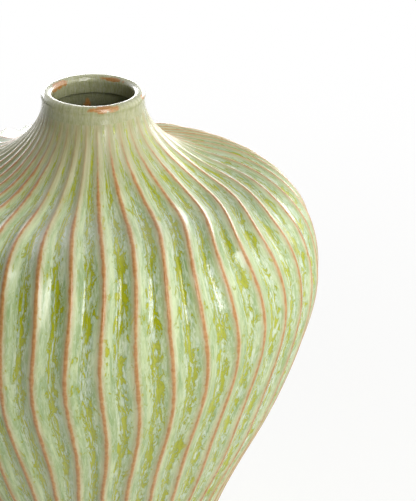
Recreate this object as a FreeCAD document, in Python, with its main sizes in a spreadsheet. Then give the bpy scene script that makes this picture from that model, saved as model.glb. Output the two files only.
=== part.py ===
import FreeCAD, Part
import math
import os
import re

import Sketcher

# A stoneware meiping vase with carved flutes, in millimetres. It stands on z = 0 with its axis on Z.
# It is made of thrown sections that slip keys join, and of the glaze coats inside and outside.

# Driving sizes. Radii and heights are those of the glazed vase, so the clay lies one coat deeper.
SIZES = {
    "total_height": 330,
    "neck_radius": 29,
    "collar_height": 10,
    "collar_wall": 6.4,
    "neck_opening_radius": 24.5,
    "girth_height": 223,
    "belly_radius": 127,
    "foot_radius": 55,
    "foot_flare": 1.5,
    "foot_ring_height": 8,
    "foot_ring_width": 11.6,
    "foot_bevel": 1.5,
    "wall_thickness": 6,
    "floor_thickness": 8,
    "floor_coil_size": 5,
    "flute_depth": 3,
    "glaze_on_ridges": 0.4,
    "glaze_in_flutes": 0.8,
    "liner_thickness": 0.5,
    "liner_clearance": 0.1,
    "recess_glaze_thickness": 0.5,
    "collar_key_width": 1.8,
    "girth_key_width": 3,
    "foot_key_width": 3,
    "key_height": 5,
    "fit_clearance": 0.1,
    "cut_overrun": 2,
}

# How much of the flutes' depth is left at the waist, where the hollow's straight foot begins.
WAIST_FLUTE_SHARE = 0.25

# The ridge line of the shoulder, from the collar down to the girth. Each row holds the share of the
# way out from neck to belly, the share of the way down, the share of the flute's full depth there,
# and the share of the ridges' fan, which spreads them on the front of the neck.
SHOULDER_SHARES = (
    (0.000, 0.000, 0.00, 1.10),
    (0.028, 0.079, 0.10, 1.06),
    (0.086, 0.163, 0.20, 1.02),
    (0.196, 0.267, 0.38, 0.98),
    (0.374, 0.366, 0.62, 0.77),
    (0.573, 0.411, 0.80, 0.41),
    (0.762, 0.482, 0.92, 0.10),
    (0.907, 0.625, 1.00, 0.00),
    (0.980, 0.816, 1.00, 0.00),
    (1.000, 1.000, 1.00, 0.00),
)

# The ridge line below the girth, down to the foot ring. Each row holds the share of the way out
# from waist to belly, the share of the way down, and the share of the flute's depth.
LOWER_SHARES = (
    (0.954, 0.107, 1.00),
    (0.816, 0.251, 1.00),
    (0.619, 0.407, 0.97),
    (0.401, 0.551, 0.90),
    (0.215, 0.693, 0.78),
    (0.071, 0.823, 0.58),
    (0.000, 0.928, WAIST_FLUTE_SHARE),
)

# The flutes. Each is a soft V across, shaped by two poles this share of the width from its ridges.
# Angles in degrees of the ridges about the axis, from the front towards +X. The carver's spacing
# drifts once round the belly, fans out towards the neck, and each ridge wanders as it runs down.
FLUTE_COUNT = 40
SCOOP_SHARE = 0.42
FIRST_RIDGE = -24.8
SPACING_DRIFT = -2.27
FAN_TURN = 14.3
FAN_SINE = 18.6
FAN_COSINE = -6.2
FAN_DOUBLE_COSINE = -6.9
WANDER = 0.8
WANDERS_PER_HEIGHT = 3.4
WANDER_STEP = 40

doc = FreeCAD.newDocument("meiping_vase")
sheet = doc.addObject("Spreadsheet::Sheet", "Sizes")
for row, (alias, value) in enumerate(SIZES.items(), start=1):
    sheet.set(f"A{row}", alias)
    sheet.set(f"B{row}", str(value))
    sheet.setAlias(f"B{row}", alias)
doc.recompute()


def size(formula):
    """The value, in millimetres, of a formula of the named sizes."""
    return float(sheet.evalExpression(formula))


def bind(owner, target, formula):
    """Ties one size of an object to a formula of the named sizes."""
    owner.setExpression(target, re.sub(r"([a-z][a-z_]+)", r"Sizes.\1", formula))


def origin_part(body, role):
    """The origin plane or axis of a body that has this role."""
    return next(part for part in body.Origin.OriginFeatures if part.Role == role)


def turned_body(name, corners, round_top=False):
    """A ring turned about the axis from (radius, height) corners. Its top edge can be half-round."""
    body = doc.addObject("PartDesign::Body", name)
    sketch = body.newObject("Sketcher::SketchObject", name + "_section")
    sketch.AttachmentSupport = [(origin_part(body, "XZ_Plane"), "")]
    sketch.MapMode = "FlatFace"
    places = [FreeCAD.Vector(size(radius), size(height), 0) for radius, height in corners]
    sides = len(places)
    top = 2 if round_top else None
    for side in range(sides):
        start, end = places[side], places[(side + 1) % sides]
        if side == top:
            circle = Part.Circle((start + end) / 2, FreeCAD.Vector(0, 0, 1), start.distanceToPoint(end) / 2)
            sketch.addGeometry(Part.ArcOfCircle(circle, 0, math.pi))
        else:
            sketch.addGeometry(Part.LineSegment(start, end))
    for side in range(sides):
        sketch.addConstraint(Sketcher.Constraint("Coincident", side, 2, (side + 1) % sides, 1))
        for direction, formula in zip(("DistanceX", "DistanceY"), corners[side]):
            index = sketch.addConstraint(Sketcher.Constraint(direction, -1, 1, side, 1, size(formula)))
            bind(sketch, f"Constraints[{index}]", formula)
    if round_top:
        centre_height = corners[top][1]
        index = sketch.addConstraint(Sketcher.Constraint("DistanceY", -1, 1, top, 3, size(centre_height)))
        bind(sketch, f"Constraints[{index}]", centre_height)
    turning = body.newObject("PartDesign::Revolution", name + "_turning")
    turning.Profile = sketch
    turning.ReferenceAxis = (sketch, ["V_Axis"])
    turning.Angle = 360
    body.Tip = turning
    return body


def disc_body(name, radius, thickness, height):
    """A flat disc on the axis, with its underside at the height."""
    body = doc.addObject("PartDesign::Body", name)
    sketch = body.newObject("Sketcher::SketchObject", name + "_outline")
    sketch.AttachmentSupport = [(origin_part(body, "XY_Plane"), "")]
    sketch.MapMode = "FlatFace"
    sketch.addGeometry(Part.Circle(FreeCAD.Vector(), FreeCAD.Vector(0, 0, 1), size(radius)))
    sketch.addConstraint(Sketcher.Constraint("Coincident", 0, 3, -1, 1))
    index = sketch.addConstraint(Sketcher.Constraint("Radius", 0, size(radius)))
    bind(sketch, f"Constraints[{index}]", radius)
    pad = body.newObject("PartDesign::Pad", name + "_slab")
    pad.Profile = sketch
    bind(pad, "Length", thickness)
    body.Tip = pad
    bind(body, "Placement.Base.z", height)
    return body


def shape_feature(name, shape):
    """A piece whose curved shape is worked out below from the named sizes."""
    feature = doc.addObject("Part::Feature", name)
    feature.Shape = shape
    feature.Placement = FreeCAD.Placement()
    return feature


def carve(name, blank, tools):
    """The blank with each tool cut out of it in turn."""
    for number, tool in enumerate(tools, start=1):
        cut = doc.addObject("Part::Cut", f"{name}_cut_{number}")
        cut.Base = blank
        cut.Tool = tool
        blank = cut
    blank.Label = name
    return blank


# The ridge line of the glazed vase, from the collar's seam down to the foot's.
COLLAR_SEAM = size("total_height - collar_height")
GIRTH = size("girth_height")
FOOT_SEAM = size("foot_ring_height")
NECK_RADIUS = size("neck_radius")
BELLY_RADIUS = size("belly_radius")
WAIST_RADIUS = size("foot_radius - foot_flare")
GIRTH_ROW = len(SHOULDER_SHARES) - 1
WAIST_ROW = GIRTH_ROW + len(LOWER_SHARES)
FOOT_ROW = WAIST_ROW + 1
WAIST_CARVING = f"(flute_depth + glaze_in_flutes) * {WAIST_FLUTE_SHARE}"
HOLLOW_FOOT = f"foot_radius - foot_flare - wall_thickness - {WAIST_CARVING}"
HOLLOW_FOOT_RADIUS = size(HOLLOW_FOOT)

ridge_line = []
flute_shares = []
fan_shares = []
for out_share, down_share, flute_share, fan_share in SHOULDER_SHARES:
    radius = NECK_RADIUS + out_share * (BELLY_RADIUS - NECK_RADIUS)
    height = COLLAR_SEAM + down_share * (GIRTH - COLLAR_SEAM)
    ridge_line.append(FreeCAD.Vector(radius, 0, height))
    flute_shares.append(flute_share)
    fan_shares.append(fan_share)
for out_share, down_share, flute_share in LOWER_SHARES:
    radius = WAIST_RADIUS + out_share * (BELLY_RADIUS - WAIST_RADIUS)
    height = GIRTH + down_share * (FOOT_SEAM - GIRTH)
    ridge_line.append(FreeCAD.Vector(radius, 0, height))
    flute_shares.append(flute_share)
    fan_shares.append(0.0)
ridge_line.append(FreeCAD.Vector(size("foot_radius"), 0, FOOT_SEAM))
flute_shares.append(0.0)
fan_shares.append(0.0)

WAIST_HEIGHT = ridge_line[WAIST_ROW].z

# How far down the ridge line each of its points lies, from 0 at the collar to 1 at the foot.
run = [0.0]
for above, below in zip(ridge_line, ridge_line[1:]):
    run.append(run[-1] + above.distanceToPoint(below))
STATIONS = [distance / run[-1] for distance in run]


def line_through(points, stations):
    """A smooth curve that passes each point at its station."""
    curve = Part.BSplineCurve()
    curve.interpolate(Points=points, Parameters=stations)
    return curve


def outward_normals():
    """The direction out of the wall at each point of the ridge line, level at seams, girth and waist."""
    curve = line_through(ridge_line, STATIONS)
    level = (0, GIRTH_ROW, WAIST_ROW, FOOT_ROW)
    normals = []
    for index, station in enumerate(STATIONS):
        along = curve.tangent(station)[0]
        out = FreeCAD.Vector(1, 0, 0) if index in level else FreeCAD.Vector(-along.z, 0, along.x)
        normals.append(out.normalize())
    return normals


NORMALS = outward_normals()


def ridge_angle(number, row):
    """The angle of one ridge about the axis at one row of the ridge line, in radians."""
    number %= FLUTE_COUNT
    even = number * 360 / FLUTE_COUNT
    belly = FIRST_RIDGE + even + SPACING_DRIFT * math.sin(math.radians(even))
    place = math.radians(belly)
    fan = FAN_TURN + FAN_SINE * math.sin(place) + FAN_COSINE * math.cos(place)
    fan += FAN_DOUBLE_COSINE * math.cos(2 * place)
    phase = 360 * WANDERS_PER_HEIGHT * STATIONS[row] + WANDER_STEP * number
    return math.radians(belly + fan_shares[row] * fan + WANDER * math.sin(math.radians(phase)))


def around(radius, height, angle):
    """A point at this angle from the front, which faces -Y, towards +X."""
    return FreeCAD.Vector(radius * math.sin(angle), -radius * math.cos(angle), height)


def fluted_surfaces(inset, depth):
    """One scooped surface for each flute, its ridges this far inside the ridge line."""
    rows = range(len(ridge_line))
    ridges = [ridge_line[row] - NORMALS[row] * inset for row in rows]
    scoops = [ridges[row] - NORMALS[row] * depth * flute_shares[row] for row in rows]
    surfaces = []
    for number in range(FLUTE_COUNT):
        columns = [[], [], [], []]
        for row in rows:
            start = ridge_angle(number, row)
            width = (ridge_angle(number + 1, row) - start) % (2 * math.pi)
            side = SCOOP_SHARE * width
            bulge = scoops[row].x / math.cos(width / 2 - side)
            columns[0].append(around(ridges[row].x, ridges[row].z, start))
            columns[1].append(around(bulge, scoops[row].z, start + side))
            columns[2].append(around(bulge, scoops[row].z, start + width - side))
            columns[3].append(around(ridges[row].x, ridges[row].z, start + width))
        lines = [line_through(points, STATIONS) for points in columns]
        surface = Part.BSplineSurface()
        surface.buildFromPolesMultsKnots(
            [line.getPoles() for line in lines],
            (3, 1, 3),
            lines[0].getMultiplicities(),
            (0.0, 0.5, 1.0),
            lines[0].getKnots(),
            False,
            False,
            2,
            3,
        )
        surfaces.append(surface)
    return surfaces


def edge_loop(surfaces, station):
    """The closed wire that the surfaces' edges make at one station."""
    return Part.Wire([surface.vIso(station).toShape() for surface in surfaces])


def closed_solid(faces):
    """The solid that the faces enclose, pointing outwards."""
    shell = Part.makeShell(faces)
    shell.sewShape()
    solid = Part.makeSolid(shell)
    if solid.Volume < 0:
        solid.reverse()
    return solid


def fluted_blank(upper_row, lower_row):
    """A solid plug of clay with the carved flutes on it, from one row of the ridge line to another."""
    inset = size("glaze_on_ridges")
    depth = size("flute_depth + glaze_in_flutes - glaze_on_ridges")
    ends = STATIONS[upper_row], STATIONS[lower_row]
    surfaces = fluted_surfaces(inset, depth)
    for surface in surfaces:
        surface.segment(0.0, 1.0, *ends)
    caps = [Part.Face(edge_loop(surfaces, station)) for station in ends]
    return closed_solid([surface.toShape() for surface in surfaces] + caps)


def glaze_skin():
    """The glaze coat over the flutes: thin on the ridges, pooled in the scoops."""
    outside = fluted_surfaces(0.0, size("flute_depth"))
    clay_depth = size("flute_depth + glaze_in_flutes - glaze_on_ridges")
    inside = fluted_surfaces(size("glaze_on_ridges"), clay_depth)
    faces = [surface.toShape() for surface in outside + inside]
    for station in (STATIONS[0], STATIONS[-1]):
        loops = [edge_loop(outside, station), edge_loop(inside, station)]
        faces.append(Part.makeFace(loops, "Part::FaceMakerBullseye"))
    return closed_solid(faces)


def hollow_line(inset):
    """The curve of the hollow inside, from the foot's waist up to the collar's seam."""
    clay_depth = size("flute_depth + glaze_in_flutes")
    rows = range(WAIST_ROW, -1, -1)
    points = []
    for row in rows[:-1]:
        wall = size("wall_thickness") + clay_depth * flute_shares[row] + inset
        points.append(ridge_line[row] - NORMALS[row] * wall)
    points.append(FreeCAD.Vector(size("neck_opening_radius") - inset, 0, COLLAR_SEAM - inset))
    stations = [STATIONS[WAIST_ROW] - STATIONS[row] for row in rows]
    return line_through(points, stations).toShape()


def chain(points):
    """Straight edges from each (radius, height) point to the next."""
    places = [FreeCAD.Vector(radius, 0, height) for radius, height in points]
    return [Part.LineSegment(start, end).toShape() for start, end in zip(places, places[1:])]


def half_round(inner_radius, outer_radius, height):
    """A half circle over the lip, from its inner side to its outer side."""
    middle = (inner_radius + outer_radius) / 2
    crown = height + (outer_radius - inner_radius) / 2
    places = ((inner_radius, height), (middle, crown), (outer_radius, height))
    return Part.Arc(*[FreeCAD.Vector(radius, 0, level) for radius, level in places]).toShape()


def turned_solid(edges):
    """The solid that a closed chain of edges sweeps about the axis."""
    face = Part.Face(Part.Wire(Part.sortEdges(edges)[0]))
    solid = face.revolve(FreeCAD.Vector(), FreeCAD.Vector(0, 0, 1), 360)
    if solid.Volume < 0:
        solid.reverse()
    return solid


def hollow_plug():
    """The hollow inside the clay as a solid, run out through both ends."""
    bottom = FOOT_SEAM - size("cut_overrun")
    top = COLLAR_SEAM + size("cut_overrun")
    opening = size("neck_opening_radius")
    edges = chain([(opening, COLLAR_SEAM), (opening, top), (0, top), (0, bottom),
                   (HOLLOW_FOOT_RADIUS, bottom), (HOLLOW_FOOT_RADIUS, WAIST_HEIGHT)])
    return turned_solid(edges + [hollow_line(0.0)])


def liner_side(inset):
    """The clay's inside, over the lip and down the collar, moved this far out into the open."""
    coat = size("liner_thickness")
    coil = size("floor_coil_size")
    floor = size("foot_ring_height + floor_thickness") + inset
    foot = HOLLOW_FOOT_RADIUS - inset
    mitre = inset * math.tan(math.radians(22.5))
    lip_height = size("total_height - collar_wall / 2")
    inner = size("neck_radius - collar_wall") + coat - inset
    outer = NECK_RADIUS - coat + inset
    opening = size("neck_opening_radius") - inset
    under_collar = COLLAR_SEAM - inset
    edges = chain([(0, floor), (HOLLOW_FOOT_RADIUS - coil - mitre, floor),
                   (foot, floor - inset + coil + mitre), (foot, WAIST_HEIGHT)])
    edges += [hollow_line(inset)]
    edges += chain([(opening, under_collar), (inner, under_collar), (inner, lip_height)])
    edges += [half_round(inner, outer, lip_height)]
    edges += chain([(outer, lip_height), (outer, COLLAR_SEAM)])
    return edges


def liner_coat():
    """The glaze inside: over the floor, up the hollow, under and through the collar and over its lip."""
    coat = size("liner_thickness")
    gap = size("liner_clearance")
    floor = size("foot_ring_height + floor_thickness")
    ends = chain([(0, floor + gap), (0, floor + coat)])
    ends += chain([(NECK_RADIUS - coat + gap, COLLAR_SEAM), (NECK_RADIUS, COLLAR_SEAM)])
    return turned_solid(liner_side(gap) + liner_side(coat) + ends)


# The keys of slip that fill the scored grooves of each joint.
HALF_KEY = "key_height / 2"


def slip_key(name, middle, width, seam):
    """A ring of slip across one joint, half of it in the piece above and half in the one below."""
    inner, outer = f"{middle} - {width} / 2", f"{middle} + {width} / 2"
    low, high = f"{seam} - {HALF_KEY}", f"{seam} + {HALF_KEY}"
    return turned_body(name, [(inner, low), (outer, low), (outer, high), (inner, high)])


COLLAR_SEAM_FORMULA = "total_height - collar_height"
collar_slip = slip_key("collar_slip", "(neck_opening_radius + neck_radius - glaze_on_ridges) / 2",
                       "collar_key_width", COLLAR_SEAM_FORMULA)
girth_slip = slip_key("girth_slip", "(belly_radius - flute_depth - glaze_in_flutes - wall_thickness / 2)",
                      "girth_key_width", "girth_height")
foot_slip = slip_key("foot_slip", f"({HOLLOW_FOOT} + foot_radius - glaze_on_ridges) / 2",
                     "foot_key_width", "foot_ring_height")

# The collar, with its rolled lip, sits on the shoulder.
COLLAR_INSIDE = "neck_radius - collar_wall + liner_thickness"
COLLAR_OUTSIDE = "neck_radius - liner_thickness"
LIP_HEIGHT = "total_height - collar_wall / 2"
collar_blank = turned_body(
    "collar_blank",
    [(COLLAR_INSIDE, COLLAR_SEAM_FORMULA), (COLLAR_OUTSIDE, COLLAR_SEAM_FORMULA),
     (COLLAR_OUTSIDE, LIP_HEIGHT), (COLLAR_INSIDE, LIP_HEIGHT)],
    round_top=True,
)
neck_and_mouth = carve("neck_and_mouth", collar_blank, [collar_slip])

# The two fluted sections meet at the girth and share one hollow.
hollow = shape_feature("hollow", hollow_plug())
shoulder_blank = shape_feature("shoulder_blank", fluted_blank(0, GIRTH_ROW))
shoulder = carve("shoulder", shoulder_blank, [hollow, collar_slip, girth_slip])
lower_blank = shape_feature("lower_blank", fluted_blank(GIRTH_ROW, FOOT_ROW))
lower_body = carve("lower_body", lower_blank, [hollow, girth_slip, foot_slip])

# The turned foot ring carries the lower body on its outer part and the floor on its inner part.
RING_INSIDE = "foot_radius - foot_ring_width"
RING_OUTSIDE = "foot_radius - glaze_on_ridges"
ring_blank = turned_body(
    "ring_blank",
    [(RING_INSIDE, "foot_ring_height"), (RING_INSIDE, "foot_bevel"),
     (f"{RING_INSIDE} + foot_bevel", "0"), (f"{RING_OUTSIDE} - foot_bevel", "0"),
     (RING_OUTSIDE, "foot_bevel"), (RING_OUTSIDE, "foot_ring_height")],
)
foot_ring = carve("foot_ring", ring_blank, [foot_slip])
base_floor = disc_body("base_floor", f"{HOLLOW_FOOT} - fit_clearance", "floor_thickness",
                       "foot_ring_height")

# The coil of clay pressed into the corner between the floor and the wall.
FLOOR_TOP = "foot_ring_height + floor_thickness"
floor_coil = turned_body(
    "floor_coil",
    [(f"{HOLLOW_FOOT} - floor_coil_size", FLOOR_TOP), (HOLLOW_FOOT, FLOOR_TOP),
     (HOLLOW_FOOT, f"{FLOOR_TOP} + floor_coil_size")],
)

# The glaze coats.
outer_glaze = shape_feature("outer_glaze", glaze_skin())
liner_glaze = shape_feature("liner_glaze", liner_coat())
recess_glaze = disc_body("recess_glaze", f"{RING_INSIDE} - fit_clearance", "recess_glaze_thickness",
                         "foot_ring_height - recess_glaze_thickness")

NODES = (neck_and_mouth, shoulder, lower_body, foot_ring, base_floor, floor_coil, collar_slip,
         girth_slip, foot_slip, outer_glaze, liner_glaze, recess_glaze)

doc.recompute()
for item in doc.Objects:
    if "Invalid" in item.State or "Error" in item.State:
        raise RuntimeError(f"{item.Label} did not compute: {item.State}")
for node in NODES:
    if node.Shape.isNull() or not node.Shape.isValid() or not node.Shape.Solids:
        raise RuntimeError(f"{node.Label} is not a valid solid")

os.makedirs("parts", exist_ok=True)
for node in NODES:
    node.Shape.exportStep(f"parts/{node.Label}.step")
    box = node.Shape.BoundBox
    print(f"{node.Label}: {len(node.Shape.Solids)} solid, {node.Shape.Volume / 1000:.1f} cm3, "
          f"z {box.ZMin:.2f} to {box.ZMax:.2f}, x {box.XMin:.2f} to {box.XMax:.2f}")
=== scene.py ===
import math
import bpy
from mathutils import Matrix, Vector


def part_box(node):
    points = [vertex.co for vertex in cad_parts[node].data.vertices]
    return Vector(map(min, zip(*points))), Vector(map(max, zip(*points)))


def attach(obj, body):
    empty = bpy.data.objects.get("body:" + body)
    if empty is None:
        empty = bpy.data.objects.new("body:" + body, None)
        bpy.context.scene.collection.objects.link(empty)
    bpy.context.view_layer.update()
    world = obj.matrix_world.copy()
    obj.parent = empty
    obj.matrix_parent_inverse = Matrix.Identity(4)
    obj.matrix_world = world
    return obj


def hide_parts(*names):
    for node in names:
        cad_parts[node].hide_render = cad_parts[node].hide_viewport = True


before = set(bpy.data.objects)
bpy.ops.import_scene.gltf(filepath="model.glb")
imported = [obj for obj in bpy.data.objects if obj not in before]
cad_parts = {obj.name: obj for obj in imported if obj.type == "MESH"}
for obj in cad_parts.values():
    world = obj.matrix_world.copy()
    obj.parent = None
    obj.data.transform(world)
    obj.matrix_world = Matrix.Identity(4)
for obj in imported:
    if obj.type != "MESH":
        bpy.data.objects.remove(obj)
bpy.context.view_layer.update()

from types import SimpleNamespace

import bpy
import numpy as np
from mathutils import Vector, noise

# The thrown clay: collar, two fluted sections, floor, corner coil and the turned foot ring.
# Iron-bearing stoneware, thrown in sections and luted together; only the foot ring is left bare.
MM = 0.001


def linear(colour):
    """An sRGB hex colour as linear RGBA."""
    channels = [int(colour[place:place + 2], 16) / 255 for place in (1, 3, 5)]
    return tuple(c / 12.92 if c <= 0.04045 else ((c + 0.055) / 1.055) ** 2.4 for c in channels) + (1.0,)


def feed(tree, node, inputs):
    """Sets a node's sockets to values, or links other sockets or nodes' outputs to them."""
    for name, source in inputs.items():
        named = [socket for socket in node.inputs if socket.enabled and socket.name == name]
        socket = named[0] if named else node.inputs[name]
        if isinstance(source, bpy.types.Node):
            source = next(output for output in source.outputs if output.enabled)
        if isinstance(source, bpy.types.NodeSocket):
            tree.links.new(source, socket)
        else:
            socket.default_value = source


def add(tree, kind, inputs=None, **settings):
    """Adds a node with its settings and feeds its sockets."""
    node = tree.nodes.new(kind)
    for name, value in settings.items():
        setattr(node, name, value)
    feed(tree, node, inputs or {})
    return node


def new_material(name):
    """A material with its node tree and its Principled shader."""
    material = bpy.data.materials.new(name)
    material.use_nodes = True
    return material, material.node_tree, material.node_tree.nodes["Principled BSDF"]


def dress(node, material):
    """Gives a CAD node its material."""
    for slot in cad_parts[node].material_slots:
        slot.material = material


def toasted_stoneware():
    """Coarse stoneware, toasted where bare: buff to rust, with iron specks and a gritty tooth."""
    material, tree, shader = new_material("toasted_stoneware")
    place = add(tree, "ShaderNodeTexCoord").outputs["Object"]
    flashes = add(tree, "ShaderNodeTexNoise", {"Vector": place, "Scale": 1 / (18 * MM), "Detail": 3.0})
    toast = add(tree, "ShaderNodeMapRange", {"Value": flashes, "From Min": 0.35, "From Max": 0.65})
    body = add(tree, "ShaderNodeMix", {"Factor": toast, "A": linear("#a9714a"), "B": linear("#c9a078")},
               data_type="RGBA")
    grains = add(tree, "ShaderNodeTexVoronoi", {"Vector": place, "Scale": 1 / (2.5 * MM)})
    speck = add(tree, "ShaderNodeMapRange", {"Value": grains, "From Min": 0.16, "From Max": 0.10,
                                             "To Max": 0.8})
    colour = add(tree, "ShaderNodeMix", {"Factor": speck, "A": body, "B": linear("#4c2f1e")},
                 data_type="RGBA")
    grit = add(tree, "ShaderNodeTexNoise", {"Vector": place, "Scale": 1 / (0.9 * MM), "Detail": 2.0})
    tooth = add(tree, "ShaderNodeBump", {"Height": grit, "Strength": 0.35, "Distance": 0.2 * MM})
    feed(tree, shader, {"Base Color": colour, "Roughness": 0.82, "IOR": 1.5, "Normal": tooth})
    return material


stoneware = toasted_stoneware()
for node in ("neck_and_mouth", "shoulder", "lower_body", "foot_ring", "base_floor", "floor_coil"):
    dress(node, stoneware)

# The slip keys in the joints: the same clay thinned with water, brushed into scored grooves.
# Fired, they are one with the clay on both sides, a shade paler and finer.


def cloudy(name, size, darker, paler, roughness):
    """A material that is a little cloudy, its darker and paler patches about this size."""
    material, tree, shader = new_material(name)
    place = add(tree, "ShaderNodeTexCoord").outputs["Object"]
    cloud = add(tree, "ShaderNodeTexNoise", {"Vector": place, "Scale": 1 / size, "Detail": 4.0})
    colour = add(tree, "ShaderNodeMix", {"Factor": cloud, "A": linear(darker), "B": linear(paler)},
                 data_type="RGBA")
    feed(tree, shader, {"Base Color": colour, "Roughness": roughness, "IOR": 1.5})
    return material


# Fine slip is smooth and pale to the eye beside the body, with faint brush drag.
slip = cloudy("luting_slip", 6 * MM, "#b98f6c", "#d0ac88", 0.7)
for node in ("collar_slip", "girth_slip", "foot_slip"):
    dress(node, slip)

# The poured glaze over the flutes: a mint celadon that runs down the carving as it melts.
# It pools in the flutes, where lime ash crystals grow, and thins to rust on the ridges.
COLLAR_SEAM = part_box("neck_and_mouth")[0].z
GIRTH_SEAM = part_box("shoulder")[0].z
FOOT_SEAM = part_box("lower_body")[0].z
NECK_RADIUS = 29 * MM
BELLY_RADIUS = 127 * MM
FOOT_RADIUS = 55 * MM
FOOT_FLARE = 1.5 * MM
WAIST_RADIUS = FOOT_RADIUS - FOOT_FLARE
FLUTE_DEPTH = 3 * MM

# How thick it lies on the ridges and in the flutes, and how far its face sinks there as it melts.
GLAZE_ON_RIDGES = 0.4 * MM
GLAZE_IN_FLUTES = 0.8 * MM
GLAZE_SUNK = 0.35 * MM

# The ridge line of the shoulder and of the lower body. Each row holds the share of the way out,
# the share of the way down, the share of the flutes' depth and the share of the neck's fan.
SHOULDER_SHARES = (
    (0.000, 0.000, 0.00, 1.10),
    (0.028, 0.079, 0.10, 1.06),
    (0.086, 0.163, 0.20, 1.02),
    (0.196, 0.267, 0.38, 0.98),
    (0.374, 0.366, 0.62, 0.77),
    (0.573, 0.411, 0.80, 0.41),
    (0.762, 0.482, 0.92, 0.10),
    (0.907, 0.625, 1.00, 0.00),
    (0.980, 0.816, 1.00, 0.00),
    (1.000, 1.000, 1.00, 0.00),
)
LOWER_SHARES = (
    (0.954, 0.107, 1.00, 0.00),
    (0.816, 0.251, 1.00, 0.00),
    (0.619, 0.407, 0.97, 0.00),
    (0.401, 0.551, 0.90, 0.00),
    (0.215, 0.693, 0.78, 0.00),
    (0.071, 0.823, 0.58, 0.00),
    (0.000, 0.928, 0.25, 0.00),
)
GIRTH_ROW = len(SHOULDER_SHARES) - 1
WAIST_ROW = GIRTH_ROW + len(LOWER_SHARES)
FOOT_ROW = WAIST_ROW + 1


def place_rows():
    """The (radius, height) of each row of the ridge line, and its shares of depth and of fan."""
    places, shares = [], []
    for table, narrow, top, bottom in ((SHOULDER_SHARES, NECK_RADIUS, COLLAR_SEAM, GIRTH_SEAM),
                                       (LOWER_SHARES, WAIST_RADIUS, GIRTH_SEAM, FOOT_SEAM)):
        for out_share, down_share, flute_share, fan_share in table:
            places.append((narrow + out_share * (BELLY_RADIUS - narrow), top + down_share * (bottom - top)))
            shares.append((flute_share, fan_share))
    return np.array(places + [(FOOT_RADIUS, FOOT_SEAM)]), np.array(shares + [(0.0, 0.0)])


def row_slopes(stations, rows):
    """The slope, at each row, of the smooth line through the rows."""
    steps = np.diff(stations)
    rises = np.diff(rows, axis=0) / steps[:, None]
    system = np.eye(len(rows))
    slopes = np.zeros_like(rows)
    for row in range(1, len(rows) - 1):
        before, after = 1 / steps[row - 1], 1 / steps[row]
        system[row, row - 1:row + 2] = before, 2 * (before + after), after
        slopes[row] = 3 * (rises[row - 1] * before + rises[row] * after)
    for end, near in ((0, slice(None, 4)), (-1, slice(-4, None))):
        cubic = np.polyfit(stations[near], rows[near], 3)
        slopes[end] = (3 * cubic[0] * stations[end] + 2 * cubic[1]) * stations[end] + cubic[2]
    return np.linalg.solve(system, slopes)


def smooth(stations, rows, wanted):
    """The smooth line through the rows, at the wanted stations."""
    slopes = row_slopes(stations, rows)
    spans = np.clip(np.searchsorted(stations, wanted, side="right") - 1, 0, len(stations) - 2)
    steps = (stations[spans + 1] - stations[spans])[:, None]
    part = (wanted - stations[spans])[:, None] / steps
    rise = part * part * (3 - 2 * part)
    return (rows[spans] * (1 - rise) + rows[spans + 1] * rise
            + slopes[spans] * steps * part * (1 - part) ** 2
            - slopes[spans + 1] * steps * part ** 2 * (1 - part))


def outward_normals():
    """The direction out of the wall at each row, level at the seams, the girth and the waist."""
    slopes = row_slopes(stations, ridge_rows)
    normals = np.column_stack((-slopes[:, 1], slopes[:, 0]))
    normals[[0, GIRTH_ROW, WAIST_ROW, FOOT_ROW]] = 1.0, 0.0
    return normals / np.linalg.norm(normals, axis=1)[:, None]


ridge_rows, carving_shares = place_rows()
stations = np.concatenate(([0.0], np.cumsum(np.linalg.norm(np.diff(ridge_rows, axis=0), axis=1))))
RUN_LENGTH = stations[-1]
stations /= RUN_LENGTH
normals = outward_normals()

OUTSIDE_ROWS = 150
INSIDE_ROWS = 50
INSIDE_CROWDING = 1.3


def section_at_a_ridge():
    """The glaze coat cut through along a ridge: points down its outside and up its inside."""
    # Each face of the coat: its stations, how far it lies in, how deep its flutes are, and 1 outside.
    inside = np.linspace(1, 0, INSIDE_ROWS) ** INSIDE_CROWDING
    inside_depth = FLUTE_DEPTH + GLAZE_IN_FLUTES - GLAZE_ON_RIDGES
    faces = ((np.linspace(0, 1, OUTSIDE_ROWS), 0.0, FLUTE_DEPTH + GLAZE_SUNK, 1.0),
             (inside, GLAZE_ON_RIDGES, inside_depth, 0.0))
    points, scoops, rules = [], [], []
    for wanted, inset, depth, outside in faces:
        line = smooth(stations, ridge_rows, wanted) - smooth(stations, normals, wanted) * inset
        scoop = -smooth(stations, normals * carving_shares[:, :1], wanted) * depth
        fan = smooth(stations, carving_shares[:, 1:], wanted)
        level = np.zeros(len(wanted))
        points += list(np.column_stack((level, -line[:, 0], line[:, 1])))
        scoops += list(np.column_stack((level, -scoop[:, 0], scoop[:, 1])))
        rules += list(np.column_stack((fan, wanted, level + outside)))
    points, scoops, rules = (rows + rows[:1] for rows in (points, scoops, rules))
    mesh = bpy.data.meshes.new("outer_glaze_section")
    mesh.from_pydata(points, [(i, i + 1) for i in range(len(points) - 1)], [])
    for name, rows in (("scoop", scoops), ("rule", rules)):
        mesh.attributes.new(name, "FLOAT_VECTOR", "POINT").data.foreach_set("vector", np.ravel(rows))
    return mesh


# The hair-fine rust as a share of all the rust, and how much of the fluting there is at the seam.
HAIRLINE_SHARE = 0.4
FLUTING_AT_SEAM = 0.55
RIDGES_TO_A_LATE_ONE = 10
SHARP_EDGE = math.radians(50)

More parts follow.
